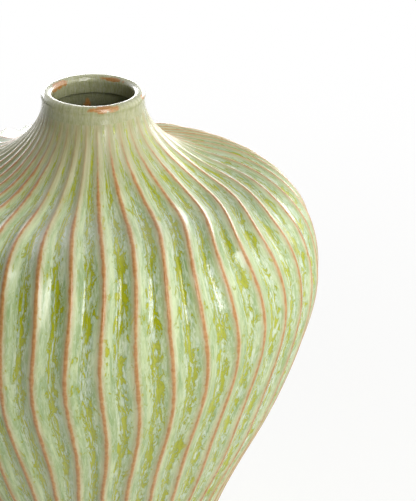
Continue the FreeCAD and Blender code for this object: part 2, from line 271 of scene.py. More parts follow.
# What the carver's hand follows, and where the rust and the fluting set in. Angles go round from
# the front, towards +X. Lengths go down from the collar's seam, but broad rust sets in past the
# place where its ridge starts to rust, which is later on each tenth ridge.
CARVING = {
    "Flutes": 40,
    "Columns in a flute": 12,
    "Crowding at ridges": 0.6,
    "Scoop share": 0.42,
    "First ridge": math.radians(-24.8),
    "Spacing drift": math.radians(-2.27),
    "Fan turn": math.radians(14.3),
    "Fan sine": math.radians(18.6),
    "Fan cosine": math.radians(-6.2),
    "Fan double cosine": math.radians(-6.9),
    "Wander": math.radians(0.8),
    "Wander turn": math.tau * 3.4,
    "Wander step": math.radians(40),
    "Crest rounding": 1.0 * MM,
    "Relief": 0.05 * MM,
    "Relief grain": 14 * MM,
    "Rust starts": 20 * MM,
    "Rust delay": 50 * MM,
    "Rust sets in": -15 * MM,
    "Rust is full": 20 * MM,
    "Hairline sets in": -4 * MM,
    "Hairline is full": 8 * MM,
    "Fluting sets in": 10 * MM,
    "Fluting is full": 75 * MM,
    "Same point": 0.002 * MM,
    "Sharp edge": SHARP_EDGE,
    "Belly radius": BELLY_RADIUS,
    "Run length": float(RUN_LENGTH),
}


def place_in_the_flutes(tree, given, column):
    """The flute that a column is in, how far across it, and the numbers of its near and far ridge."""
    flutes_in = add(tree, "ShaderNodeMath", {0: column, 1: given["Columns in a flute"]}, operation="DIVIDE")
    number = add(tree, "ShaderNodeMath", {0: flutes_in}, operation="FLOOR")
    even_part = add(tree, "ShaderNodeMath", {0: flutes_in}, operation="FRACT")

    # The columns crowd towards the ridges, where the skin bends most.
    even_turn = add(tree, "ShaderNodeMath", {0: even_part, 1: math.tau}, operation="MULTIPLY")
    wave = add(tree, "ShaderNodeMath", {0: even_turn}, operation="SINE")
    crowding = add(tree, "ShaderNodeMath", {0: given["Crowding at ridges"], 1: -1 / math.tau},
                   operation="MULTIPLY")
    across = add(tree, "ShaderNodeMath", {0: wave, 1: crowding, 2: even_part}, operation="MULTIPLY_ADD")
    past_middle = add(tree, "ShaderNodeMath", {0: across, 1: 0.5}, operation="GREATER_THAN")
    near_ridge = add(tree, "ShaderNodeMath", {0: number, 1: past_middle}, operation="ADD")
    next_ridge = add(tree, "ShaderNodeMath", {0: number, 1: 1.0}, operation="ADD")
    far_ridge = add(tree, "ShaderNodeMath", {0: next_ridge, 1: past_middle}, operation="SUBTRACT")
    return number, across, near_ridge, far_ridge


def ridge_angle(tree, given, ridge, station, fan_share):
    """The angle of one ridge at this row: even spacing, its drift, the neck's fan and the wander."""
    one_flute = add(tree, "ShaderNodeMath", {0: math.tau, 1: given["Flutes"]}, operation="DIVIDE")
    even = add(tree, "ShaderNodeMath", {0: ridge, 1: one_flute}, operation="MULTIPLY")
    angle = add(tree, "ShaderNodeMath", {0: even, 1: given["First ridge"]}, operation="ADD")
    drift = add(tree, "ShaderNodeMath", {0: even}, operation="SINE")
    angle = add(tree, "ShaderNodeMath", {0: drift, 1: given["Spacing drift"], 2: angle},
                operation="MULTIPLY_ADD")
    twice = add(tree, "ShaderNodeMath", {0: angle, 1: 2.0}, operation="MULTIPLY")
    fan = given["Fan turn"]
    for wave, turn, reach in (("SINE", angle, "Fan sine"), ("COSINE", angle, "Fan cosine"),
                              ("COSINE", twice, "Fan double cosine")):
        swing = add(tree, "ShaderNodeMath", {0: turn}, operation=wave)
        fan = add(tree, "ShaderNodeMath", {0: swing, 1: given[reach], 2: fan}, operation="MULTIPLY_ADD")
    angle = add(tree, "ShaderNodeMath", {0: fan, 1: fan_share, 2: angle}, operation="MULTIPLY_ADD")
    own = add(tree, "ShaderNodeMath", {0: ridge, 1: given["Flutes"]}, operation="MODULO")
    phase = add(tree, "ShaderNodeMath", {0: own, 1: given["Wander step"]}, operation="MULTIPLY")
    phase = add(tree, "ShaderNodeMath", {0: station, 1: given["Wander turn"], 2: phase},
                operation="MULTIPLY_ADD")
    wander = add(tree, "ShaderNodeMath", {0: phase}, operation="SINE")
    return add(tree, "ShaderNodeMath", {0: wander, 1: given["Wander"], 2: angle}, operation="MULTIPLY_ADD")


def scooped_flute(tree, given, section, across, near, far):
    """Where the skin of a flute lies, its fold about the middle and its distance from the ridge."""
    # The soft V: a curve drawn from the near ridge by two poles, one at each side of the scoop.
    turn = add(tree, "ShaderNodeMath", {0: far, 1: near}, operation="SUBTRACT")
    near_side = add(tree, "ShaderNodeMath", {0: turn, 1: given["Scoop share"], 2: near},
                    operation="MULTIPLY_ADD")
    back = add(tree, "ShaderNodeMath", {0: turn, 1: given["Scoop share"]}, operation="MULTIPLY")
    far_side = add(tree, "ShaderNodeMath", {0: far, 1: back}, operation="SUBTRACT")
    half_gap = add(tree, "ShaderNodeMath", {0: far_side, 1: near_side}, operation="SUBTRACT")
    half_gap = add(tree, "ShaderNodeMath", {0: half_gap, 1: 0.5}, operation="MULTIPLY")
    bulge = add(tree, "ShaderNodeMath", {0: half_gap}, operation="COSINE")
    bulge = add(tree, "ShaderNodeMath", {0: 1.0, 1: bulge}, operation="DIVIDE")
    bulge = add(tree, "ShaderNodeCombineXYZ", {"X": 1.0, "Y": bulge, "Z": 1.0})

    # How much the ridge and each pole count, from the ridge to the middle of the flute.
    folded = add(tree, "ShaderNodeMath", {0: across, 1: 0.5}, operation="PINGPONG")
    reach = add(tree, "ShaderNodeMath", {0: folded, 1: 2.0}, operation="MULTIPLY")
    rest = add(tree, "ShaderNodeMath", {0: 1.0, 1: reach}, operation="SUBTRACT")
    near_weight = add(tree, "ShaderNodeMath", {0: rest, 1: 2.0}, operation="POWER")
    far_weight = add(tree, "ShaderNodeMath", {0: reach, 1: 2.0}, operation="POWER")
    far_weight = add(tree, "ShaderNodeMath", {0: far_weight, 1: 0.5}, operation="MULTIPLY")
    mid_weight = 1.0
    for weight in (near_weight, far_weight):
        mid_weight = add(tree, "ShaderNodeMath", {0: mid_weight, 1: weight}, operation="SUBTRACT")

    # How far this is from the ridge, round the vase.
    radius = add(tree, "ShaderNodeSeparateXYZ", {0: section["position"]}).outputs["Y"]
    width = add(tree, "ShaderNodeMath", {0: radius, 1: turn}, operation="MULTIPLY")
    width = add(tree, "ShaderNodeMath", {0: width}, operation="ABSOLUTE")
    far_share = add(tree, "ShaderNodeMath", {0: 1.0, 1: given["Scoop share"]}, operation="SUBTRACT")
    way = add(tree, "ShaderNodeMath", {0: mid_weight, 1: given["Scoop share"]}, operation="MULTIPLY")
    way = add(tree, "ShaderNodeMath", {0: far_weight, 1: far_share, 2: way}, operation="MULTIPLY_ADD")
    from_ridge = add(tree, "ShaderNodeMath", {0: way, 1: width}, operation="MULTIPLY")

    # The crest of each ridge is rounded over, as the melting glaze leaves it.
    nearness = add(tree, "ShaderNodeMapRange", {"Value": from_ridge, "From Min": 0.0,
                                                "From Max": given["Crest rounding"],
                                                "To Min": 1.0, "To Max": 0.0})
    crest = add(tree, "ShaderNodeMath", {0: nearness, 1: 2.0}, operation="POWER")
    crest = add(tree, "ShaderNodeMath", {0: crest, 1: given["Crest rounding"]}, operation="MULTIPLY")
    crest = add(tree, "ShaderNodeMath", {0: crest, 1: width}, operation="DIVIDE")
    ridge = add(tree, "ShaderNodeVectorMath", {0: section["scoop"], "Scale": crest}, operation="SCALE")
    ridge = add(tree, "ShaderNodeVectorMath", {0: ridge, 1: section["position"]}, operation="ADD")
    scoop = add(tree, "ShaderNodeVectorMath", {0: section["scoop"], 1: section["position"]},
                operation="ADD")
    scoop = add(tree, "ShaderNodeVectorMath", {0: scoop, 1: bulge}, operation="MULTIPLY")

    surface = (0.0, 0.0, 0.0)
    for pole, angle, weight in ((ridge, near, near_weight), (scoop, near_side, mid_weight),
                                (scoop, far_side, far_weight)):
        turned = add(tree, "ShaderNodeVectorRotate", {"Vector": pole, "Angle": angle},
                     rotation_type="Z_AXIS")
        turned = add(tree, "ShaderNodeVectorMath", {0: turned, "Scale": weight}, operation="SCALE")
        surface = add(tree, "ShaderNodeVectorMath", {0: turned, 1: surface}, operation="ADD")
    return surface, folded, from_ridge


def rust_and_fluting(tree, given, along, near_ridge):
    """How strongly each ridge rusts, and how far the fluting has deepened, down from the seam."""
    late = near_ridge
    for step, value in (("SUBTRACT", 1.0), ("MULTIPLY", math.tau / RIDGES_TO_A_LATE_ONE),
                        ("COSINE", 0.0), ("MAXIMUM", 0.0), ("POWER", 2.0)):
        late = add(tree, "ShaderNodeMath", {0: late, 1: value}, operation=step)
    start = add(tree, "ShaderNodeMath", {0: late, 1: given["Rust delay"], 2: given["Rust starts"]},
                operation="MULTIPLY_ADD")
    past_start = add(tree, "ShaderNodeMath", {0: along, 1: start}, operation="SUBTRACT")
    grown = []
    for value, what, first_share, full_share in ((past_start, "Rust", 0.0, 1.0),
                                                 (along, "Hairline", 0.0, HAIRLINE_SHARE),
                                                 (along, "Fluting", FLUTING_AT_SEAM, 1.0)):
        grown.append(add(tree, "ShaderNodeMapRange", {"Value": value, "From Min": given[what + " sets in"],
                                                      "From Max": given[what + " is full"],
                                                      "To Min": first_share, "To Max": full_share},
                         interpolation_type="SMOOTHSTEP"))
    broad, hairline, fluting = grown
    rust = add(tree, "ShaderNodeMath", {0: broad, 1: 1 - HAIRLINE_SHARE, 2: hairline},
               operation="MULTIPLY_ADD")
    return rust, fluting


def rippled(tree, given, skin):
    """The skin with a slow ripple, only ever inwards and only on the outside, for glaze is never flat."""
    here = add(tree, "GeometryNodeInputPosition")
    grain = add(tree, "ShaderNodeMath", {0: 1.0, 1: given["Relief grain"]}, operation="DIVIDE")
    dip = add(tree, "ShaderNodeTexNoise", {"Vector": here, "Scale": grain, "Detail": 2.0})
    outside = add(tree, "GeometryNodeInputNamedAttribute", {"Name": "outside"}, data_type="FLOAT")
    for factor in (outside, given["Relief"], -1.0):
        dip = add(tree, "ShaderNodeMath", {0: dip, 1: factor}, operation="MULTIPLY")
    dip = add(tree, "ShaderNodeVectorMath", {0: add(tree, "GeometryNodeInputNormal"), "Scale": dip},
              operation="SCALE")
    return add(tree, "GeometryNodeSetPosition", {"Geometry": skin, "Offset": dip})


def carved_glaze_tree(glaze):
    """Geometry Nodes that sweep the section round the vase, flute by flute."""
    tree = bpy.data.node_groups.new("carved_glaze", "GeometryNodeTree")
    tree.interface.new_socket("Geometry", in_out="INPUT", socket_type="NodeSocketGeometry")
    for name, value in CARVING.items():
        kind = "NodeSocketInt" if isinstance(value, int) else "NodeSocketFloat"
        tree.interface.new_socket(name, in_out="INPUT", socket_type=kind)
    tree.interface.new_socket("Geometry", in_out="OUTPUT", socket_type="NodeSocketGeometry")
    given = add(tree, "NodeGroupInput").outputs

    # A flat grid: one column for each step round the vase, one row for each point of the section.
    columns = add(tree, "ShaderNodeMath", {0: given["Flutes"], 1: given["Columns in a flute"]},
                  operation="MULTIPLY")
    around_count = add(tree, "ShaderNodeMath", {0: columns, 1: 1.0}, operation="ADD")
    points = add(tree, "GeometryNodeAttributeDomainSize", {"Geometry": given["Geometry"]})
    points = points.outputs["Point Count"]
    steps = add(tree, "ShaderNodeMath", {0: points, 1: 1.0}, operation="SUBTRACT")
    grid = add(tree, "GeometryNodeMeshGrid", {"Size X": columns, "Size Y": steps,
                                              "Vertices X": around_count, "Vertices Y": points})
    flat = add(tree, "ShaderNodeSeparateXYZ", {0: add(tree, "GeometryNodeInputPosition")}).outputs
    counted = []
    for size, place in ((columns, flat["X"]), (steps, flat["Y"])):
        shifted = add(tree, "ShaderNodeMath", {0: size, 1: 0.5, 2: place}, operation="MULTIPLY_ADD")
        counted.append(add(tree, "ShaderNodeMath", {0: shifted}, operation="ROUND"))
    column, row = counted

    # What the section says at this row.
    section = {}
    for name in ("position", "scoop", "rule"):
        field = add(tree, "GeometryNodeInputNamedAttribute", {"Name": name}, data_type="FLOAT_VECTOR")
        section[name] = add(tree, "GeometryNodeSampleIndex",
                            {"Geometry": given["Geometry"], "Value": field, "Index": row},
                            data_type="FLOAT_VECTOR")
    rule = add(tree, "ShaderNodeSeparateXYZ", {0: section["rule"]}).outputs
    fan_share, station, outside = rule["X"], rule["Y"], rule["Z"]

    number, across, near_ridge, far_ridge = place_in_the_flutes(tree, given, column)
    near, far = (ridge_angle(tree, given, ridge, station, fan_share) for ridge in (near_ridge, far_ridge))
    surface, folded, from_ridge = scooped_flute(tree, given, section, across, near, far)

    # What the material reads: the place across the flute, and the place for streaks on a plain drum.
    across_turn = add(tree, "ShaderNodeMath", {0: across, 1: math.tau}, operation="MULTIPLY")
    lean = add(tree, "ShaderNodeMath", {0: across_turn}, operation="SINE")
    flute_place = add(tree, "ShaderNodeCombineXYZ", {"X": lean, "Y": folded, "Z": from_ridge})
    along = add(tree, "ShaderNodeMath", {0: station, 1: given["Run length"]}, operation="MULTIPLY")
    round_share = add(tree, "ShaderNodeMath", {0: number, 1: across}, operation="ADD")
    round_share = add(tree, "ShaderNodeMath", {0: round_share, 1: given["Flutes"]}, operation="DIVIDE")
    round_turn = add(tree, "ShaderNodeMath", {0: round_share, 1: math.tau}, operation="MULTIPLY")
    arm = add(tree, "ShaderNodeCombineXYZ", {"X": given["Belly radius"], "Y": 0.0, "Z": along})
    streak_place = add(tree, "ShaderNodeVectorRotate", {"Vector": arm, "Angle": round_turn},
                       rotation_type="Z_AXIS")
    rust, fluting = rust_and_fluting(tree, given, along, near_ridge)

    skin = grid.outputs["Mesh"]
    for name, value, kind in (("flute_place", flute_place, "FLOAT_VECTOR"),
                              ("streak_place", streak_place, "FLOAT_VECTOR"), ("rust", rust, "FLOAT"),
                              ("fluting", fluting, "FLOAT"), ("outside", outside, "FLOAT")):
        skin = add(tree, "GeometryNodeStoreNamedAttribute", {"Geometry": skin, "Name": name, "Value": value},
                   data_type=kind)
    skin = add(tree, "GeometryNodeSetPosition", {"Geometry": skin, "Position": surface})
    skin = add(tree, "GeometryNodeFlipFaces", {"Mesh": skin})
    skin = add(tree, "GeometryNodeMergeByDistance", {"Geometry": skin, "Distance": given["Same point"]})
    skin = rippled(tree, given, skin)

    # Smooth but for the two rims.
    bend = add(tree, "GeometryNodeInputMeshEdgeAngle").outputs["Unsigned Angle"]
    gentle = add(tree, "ShaderNodeMath", {0: bend, 1: given["Sharp edge"]}, operation="LESS_THAN")
    skin = add(tree, "GeometryNodeSetShadeSmooth", {"Geometry": skin}, domain="FACE")
    skin = add(tree, "GeometryNodeSetShadeSmooth", {"Geometry": skin, "Shade Smooth": gentle},
               domain="EDGE")
    skin = add(tree, "GeometryNodeRealizeInstances", {"Geometry": skin})
    skin = add(tree, "GeometryNodeSetMaterial", {"Geometry": skin, "Material": glaze})
    add(tree, "NodeGroupOutput", {"Geometry": skin})
    return tree


# The relief that is too fine for the mesh: the glaze's grain, the way it draws in down the flanks
# and rounds out the bottom of the V, and how it eases over the collar's seam.
CRYSTAL_GRAIN = 1.3 * MM
CRYSTAL_RELIEF = 0.11 * MM
FLANK_RELIEF = 0.014 * MM
FLANK_REACH = 9.5 * MM
FLANK_ROUNDING = 3.0 * MM
FLANK_FALL = 0.075
DEEP_FILL = 0.32 * MM
SEAM_REACH = 8 * MM
SEAM_LEAN = 10.0

# How far the deep leans to the right, and how far under the collar the veil over the gloss is full.
DEEP_LEAN = -0.09
VEIL_REACH = 20 * MM


def read_the_skin(tree):
    """What the skin says at a point: middle grows from 0 on a ridge to 0.5 in the flute, and to 1 in the
    thick of the liner, where it also paints shade; carved grows to 1 with the fluting, and fluted is 1 off
    the collar."""
    place = add(tree, "ShaderNodeAttribute", attribute_name="streak_place").outputs["Vector"]
    flute = add(tree, "ShaderNodeAttribute", attribute_name="flute_place").outputs["Vector"]
    flute = add(tree, "ShaderNodeSeparateXYZ", {0: flute}).outputs
    fluting = add(tree, "ShaderNodeAttribute", attribute_name="fluting").outputs["Fac"]

    # The deep of the flute, where the glaze pools: its middle and a little to the right.
    deep = add(tree, "ShaderNodeMath", {0: flute["X"], 1: DEEP_LEAN, 2: flute["Y"]},
               operation="MULTIPLY_ADD")
    return SimpleNamespace(
        place=place,
        along=add(tree, "ShaderNodeSeparateXYZ", {0: place}).outputs["Z"],
        middle=flute["Y"],
        from_thin=flute["Z"],
        deep=add(tree, "ShaderNodeMapRange", {"Value": deep, "From Min": 0.15, "From Max": 0.38}),
        rust=add(tree, "ShaderNodeAttribute", attribute_name="rust").outputs["Fac"],
        fluting=fluting,
        carved=add(tree, "ShaderNodeMapRange", {"Value": fluting, "From Min": FLUTING_AT_SEAM}),
        fluted=add(tree, "ShaderNodeMath", {0: fluting, 1: FLUTING_AT_SEAM / 2}, operation="GREATER_THAN"),
    )


def drawn_out(tree, place, across, along, **finish):
    """A noise drawn out by the running melt: so far across the flute and so far down it."""
    drawn = add(tree, "ShaderNodeMapping", {"Vector": place, "Scale": (1 / across, 1 / across, 1 / along)})
    return add(tree, "ShaderNodeTexNoise", {"Vector": drawn, "Scale": 1.0, **finish})


def runs_in_the_mint(tree, skin):
    """Coats of the melt: pale runs, fine flecks, milk in the deep, warmth at the neck, and dark inside,
    partly for the pooled glaze and partly as painted shade.
    """
    broad = drawn_out(tree, skin.place, 3 * MM, 26 * MM, Detail=4.0, Distortion=0.5)
    broad = add(tree, "ShaderNodeMapRange", {"Value": broad, "From Min": 0.38, "From Max": 0.64})
    fine = drawn_out(tree, skin.place, 1 * MM, 6 * MM, Detail=4.0, Distortion=1.4)
    fine = add(tree, "ShaderNodeMapRange", {"Value": fine, "From Min": 0.49, "From Max": 0.57})
    flecked = add(tree, "ShaderNodeMapRange", {"Value": skin.deep, "To Min": 0.30, "To Max": 0.85})
    fine = add(tree, "ShaderNodeMath", {0: fine, 1: flecked}, operation="MULTIPLY")
    milk = drawn_out(tree, skin.place, 2.2 * MM, 9 * MM, Detail=4.0, Roughness=0.6, Distortion=0.6)
    milk = add(tree, "ShaderNodeMapRange", {"Value": milk, "From Min": 0.52, "From Max": 0.58,
                                            "To Max": 0.75})
    milk = add(tree, "ShaderNodeMath", {0: milk, 1: skin.deep}, operation="MULTIPLY")
    warm = add(tree, "ShaderNodeMapRange", {"Value": skin.fluting, "From Min": FLUTING_AT_SEAM,
                                            "From Max": 0.85, "To Min": 0.55, "To Max": 0.0})
    # Past the middle of a flute, that is inside the liner, the glaze is painted dark: partly the thick
    # pooled glaze, partly painted shade of the hollow.
    pooled_dark_and_painted_shade = add(tree, "ShaderNodeMapRange", {"Value": skin.middle, "From Min": 0.5, "To Max": 0.8})
    return ((broad, linear("#c5d2a1")), (fine, linear("#dde6cb")), (milk, linear("#d3e1d0")),
            (warm, linear("#a19268")), (pooled_dark_and_painted_shade, linear("#41482b")))


def lime_crystals(tree, skin):
    """Coats of the ash crystals: a green halo, then lime, in drifts and sprays down the deep."""
    drifts = drawn_out(tree, skin.place, 8 * MM, 22 * MM, Detail=7.0, Roughness=0.7, Distortion=1.6)
    specks = drawn_out(tree, skin.place, 1.1 * MM, 2.6 * MM, Detail=2.0)
    sprays = drawn_out(tree, skin.place, 3.4 * MM, 11 * MM, Detail=4.0, Roughness=0.6, Distortion=1.0)
    drifts = add(tree, "ShaderNodeMath", {0: drifts, 1: sprays, 2: 0.02}, operation="SMOOTH_MAX")

    # They are scarce at the neck, and there are none on the collar.
    growth = add(tree, "ShaderNodeMapRange", {"Value": skin.fluting, "From Max": 0.7,
                                              "To Min": -0.99, "To Max": -0.68})
    for source, weight in ((drifts, 1.7), (specks, 0.26), (skin.deep, 0.19)):
        growth = add(tree, "ShaderNodeMath", {0: source, 1: weight, 2: growth}, operation="MULTIPLY_ADD")
    halo = add(tree, "ShaderNodeMapRange", {"Value": growth, "From Min": 0.40, "From Max": 0.52,
                                            "To Max": 0.55})
    lime = add(tree, "ShaderNodeMapRange", {"Value": growth, "From Min": 0.53, "From Max": 0.56})
    tone = add(tree, "ShaderNodeMapRange", {"Value": growth, "From Min": 0.55, "From Max": 0.66})
    tone = add(tree, "ShaderNodeMix", {"Factor": tone, "A": linear("#929a08"), "B": linear("#aeb414")},
               data_type="RGBA")
    return (halo, linear("#9fb574")), (lime, tone)


def rust_where_thin(tree, skin):
    """Coats of the breaking edge: a blush beside each ridge, then burnt rust, ragged and nicked."""
    blush = add(tree, "ShaderNodeMapRange", {"Value": skin.from_thin, "From Min": 3.5 * MM,
                                             "From Max": 0.8 * MM, "To Max": 0.68})
    blushing = add(tree, "ShaderNodeMapRange", {"Value": skin.fluting, "From Min": 0.35})
    blush = add(tree, "ShaderNodeMath", {0: blush, 1: blushing}, operation="MULTIPLY")

    # Broad on the ridges of the belly, hair-fine on the neck.
    ragged = drawn_out(tree, skin.place, 2 * MM, 5 * MM, Detail=3.0)
    reach = add(tree, "ShaderNodeMapRange", {"Value": skin.rust, "From Min": HAIRLINE_SHARE,
                                             "To Min": -0.20 * MM, "To Max": 0.45 * MM})
    reach = add(tree, "ShaderNodeMath", {0: ragged, 1: 1.9 * MM, 2: reach}, operation="MULTIPLY_ADD")
    reach = add(tree, "ShaderNodeMath", {0: reach, 1: skin.from_thin}, operation="SUBTRACT")
    edge = add(tree, "ShaderNodeMapRange", {"Value": reach, "From Max": 1.3 * MM})
    strength = add(tree, "ShaderNodeMapRange", {"Value": skin.rust, "From Min": 0.1, "To Max": 1.7})
    edge = add(tree, "ShaderNodeMath", {0: edge, 1: strength}, operation="MULTIPLY", use_clamp=True)
    burn = add(tree, "ShaderNodeMapRange", {"Value": skin.rust, "From Min": 0.5})
    burnt = add(tree, "ShaderNodeMix", {"Factor": burn, "A": linear("#a8704a"), "B": linear("#b07a3e")},
                data_type="RGBA")
    nicks = drawn_out(tree, skin.place, 2.4 * MM, 2.2 * MM, Detail=3.0)
    nicks = add(tree, "ShaderNodeMapRange", {"Value": nicks, "From Min": 0.42, "From Max": 0.64,
                                             "To Max": 0.55})
    burnt = add(tree, "ShaderNodeMix", {"Factor": nicks, "A": burnt, "B": linear("#cfa56e")},
                data_type="RGBA")
    return (blush, linear("#cbb08c")), (edge, burnt)


def gloss(tree, skin):
    """The weight of the glassy coat and the roughness under it: glassy deeps, satin flanks."""
    glassy = add(tree, "ShaderNodeMapRange", {"Value": skin.deep, "To Min": 0.25, "To Max": 1.0})
    satin = add(tree, "ShaderNodeMapRange", {"Value": skin.deep, "To Min": 0.32, "To Max": 0.16})

    # Under the collar, where the flutes are shallow, the gloss is veiled: less coat, and rougher.
    veil = add(tree, "ShaderNodeMapRange", {"Value": skin.along, "From Max": VEIL_REACH})
    veil = add(tree, "ShaderNodeMath", {0: veil, 1: skin.fluted}, operation="MULTIPLY")
    veil = add(tree, "ShaderNodeMath", {0: veil, 1: skin.carved}, operation="SUBTRACT", use_clamp=True)
    glassy = add(tree, "ShaderNodeMath", {0: veil, 1: -0.7, 2: glassy}, operation="MULTIPLY_ADD",
                 use_clamp=True)
    satin = add(tree, "ShaderNodeMath", {0: veil, 1: 0.18, 2: satin}, operation="MULTIPLY_ADD")
    return glassy, satin


def fine_relief(tree, skin):
    """The height of what the mesh is too coarse for, in metres."""
    # The crystals stand proud of the glassy skin and break up what it mirrors.
    grain = add(tree, "ShaderNodeTexNoise", {"Vector": skin.place, "Scale": 1 / CRYSTAL_GRAIN,
                                             "Detail": 2.0})
    rough = add(tree, "ShaderNodeMath", {0: skin.deep, 1: CRYSTAL_RELIEF, 2: FLANK_RELIEF},
                operation="MULTIPLY_ADD")
    grain = add(tree, "ShaderNodeMath", {0: grain, 1: rough}, operation="MULTIPLY")

    # Down the flanks the glaze draws in, and in the deep it rounds out the V.
    fall = add(tree, "ShaderNodeMath", {0: skin.from_thin, 1: FLANK_REACH, 2: FLANK_ROUNDING},
               operation="SMOOTH_MIN")
    fall = add(tree, "ShaderNodeMath", {0: fall, 1: skin.carved}, operation="MULTIPLY")
    height = add(tree, "ShaderNodeMath", {0: fall, 1: -FLANK_FALL, 2: grain}, operation="MULTIPLY_ADD")
    filled = add(tree, "ShaderNodeMapRange", {"Value": skin.middle, "From Min": 0.30, "From Max": 0.5,
                                              "To Max": DEEP_FILL}, interpolation_type="SMOOTHSTEP")
    filled = add(tree, "ShaderNodeMath", {0: filled, 1: skin.carved}, operation="MULTIPLY")
    height = add(tree, "ShaderNodeMath", {0: height, 1: filled}, operation="ADD")

    # The seam under the collar is smoothed over: the skin there leans into the collar's own line.
    eased = add(tree, "ShaderNodeMath", {0: SEAM_REACH, 1: skin.along}, operation="SUBTRACT",
                use_clamp=True)
    eased = add(tree, "ShaderNodeMath", {0: eased, 1: 2.0}, operation="POWER")
    eased = add(tree, "ShaderNodeMath", {0: eased, 1: skin.fluted}, operation="MULTIPLY")
    return add(tree, "ShaderNodeMath", {0: eased, 1: SEAM_LEAN, 2: height}, operation="MULTIPLY_ADD")


def breaking_celadon():
    """Glossy mint celadon: streaked where it ran, lime where ash crystals grew, rust where it is thin."""
    material, tree, shader = new_material("breaking_celadon")
    skin = read_the_skin(tree)
    coats = (*runs_in_the_mint(tree, skin), *lime_crystals(tree, skin), *rust_where_thin(tree, skin))

    # Each coat hides its share of what lies under it, from the mint up.
    colour = linear("#8fa86c")
    for share, coat in coats:
        colour = add(tree, "ShaderNodeMix", {"Factor": share, "A": colour, "B": coat}, data_type="RGBA")
    glassy, satin = gloss(tree, skin)
    bump = add(tree, "ShaderNodeBump", {"Height": fine_relief(tree, skin), "Strength": 1.0,
                                        "Distance": 1.0})
    feed(tree, shader, {"Base Color": colour, "Roughness": satin, "IOR": 1.52, "Normal": bump,
                        "Coat Weight": glassy, "Coat Roughness": 0.05, "Coat Normal": bump})
    return material


def made_by_nodes(name, mesh, tree, values):
    """The plain mesh that a Geometry Nodes tree makes, as an object of its own."""
    maker = bpy.data.objects.new(name + "_maker", mesh)
    bpy.context.scene.collection.objects.link(maker)
    modifier = maker.modifiers.new("making", "NODES")
    modifier.node_group = tree
    for item in tree.interface.items_tree:
        if item.in_out == "INPUT" and item.name in values:
            modifier[item.identifier] = values[item.name]
    graph = bpy.context.evaluated_depsgraph_get()
    made = bpy.data.meshes.new_from_object(maker.evaluated_get(graph))
    maker.modifiers.remove(modifier)
    bpy.data.objects.remove(maker)
    piece = bpy.data.objects.new(name, made)
    bpy.context.scene.collection.objects.link(piece)
    return piece


celadon = breaking_celadon()
outer_glaze = made_by_nodes("poured_celadon", section_at_a_ridge(), carved_glaze_tree(celadon), CARVING)
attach(outer_glaze, "root")
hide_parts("outer_glaze")

# The glaze poured inside: over the floor, up the hollow, through the collar and out over the lip.
# It was swilled round and tipped out, so it stands thick inside and ran thin on the lip. Inside it is
# painted dark, partly for the pooled glaze and partly as painted shade.
LIP_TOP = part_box("liner_glaze")[1].z
NECK_OPENING = 24.5 * MM
COLLAR_WALL = 6.4 * MM
LINER_COAT = 0.5 * MM
LINER_BACK = 0.2 * MM
LEDGE_ROUNDING = 1.0 * MM
BACK_ROUNDING = 0.1 * MM
WALL = 6 * MM
FLOOR_TOP = 16 * MM
FLOOR_COIL = 5 * MM
COIL_SLOPE = math.radians(45)
WAIST_HEIGHT = ridge_rows[WAIST_ROW][1]
CLAY_DEPTH = FLUTE_DEPTH + GLAZE_IN_FLUTES
HOLLOW_FOOT = WAIST_RADIUS - WALL - CLAY_DEPTH * carving_shares[WAIST_ROW][0]
NECK_FLARE = 0.42 * MM
NECK_FLARE_HEIGHT = 5 * MM
LIP_EASING = 2 * MM

# How closely its line and its skin are drawn.
HOLLOW_STEP = 4 * MM
HOLLOW_ROWS = 90
LEDGE_POINTS = 6
BORE_STEP = 1.5 * MM
LIP_POINTS = 25
COLLAR_STEP = 0.8 * MM
LINER_COLUMNS = 192

# The collar's streaks are finer than the body's: as if on a wider drum, and crowded down it.
RUN_ARM = 65 * MM
RUN_CROWDING = 2.5

# Where it ran thin and broke to rust: how far round from the front towards +X, how far down from
# the crown towards the outside, half its width and half its length.
THIN_PATCHES = (
    (12, 2.8 * MM, 9.5 * MM, 2.8 * MM),
    (75, 3.2 * MM, 3.5 * MM, 1.6 * MM),
    (-120, -3.4 * MM, 10.0 * MM, 2.8 * MM),
    (150, -3.0 * MM, 8.0 * MM, 1.5 * MM),
    (-172, -26.0 * MM, 2.8 * MM, 9.0 * MM),
)
FAR_FROM_THIN = 20 * MM
PATCH_EDGE = 3 * MM
RAGGED_GRAIN = 3.5 * MM
RAGGED_REACH = 1.4 * MM

# The lip is thrown by hand, so it dips a little as it goes round, but for the foot of the collar.
DIP = 0.12 * MM
DIP_STARTS = 2 * MM
DIP_FULL = 8 * MM


def stepped(corners, step):
    """Points along the straight lines between the corners, no further apart than a step."""
    points = [np.array(corners[0])]
    for start, end in zip(corners, corners[1:]):
        count = math.ceil(math.dist(start, end) / step)
        points += [np.array(start) + (np.array(end) - np.array(start)) * part / count
                   for part in range(1, count + 1)]
    return points


def arc(middle, radius, first, last, count):
    """Points on an arc, its angles in degrees from level."""
    turns = np.radians(np.linspace(first, last, count))
    return list(np.column_stack((middle[0] + radius * np.cos(turns), middle[1] + radius * np.sin(turns))))


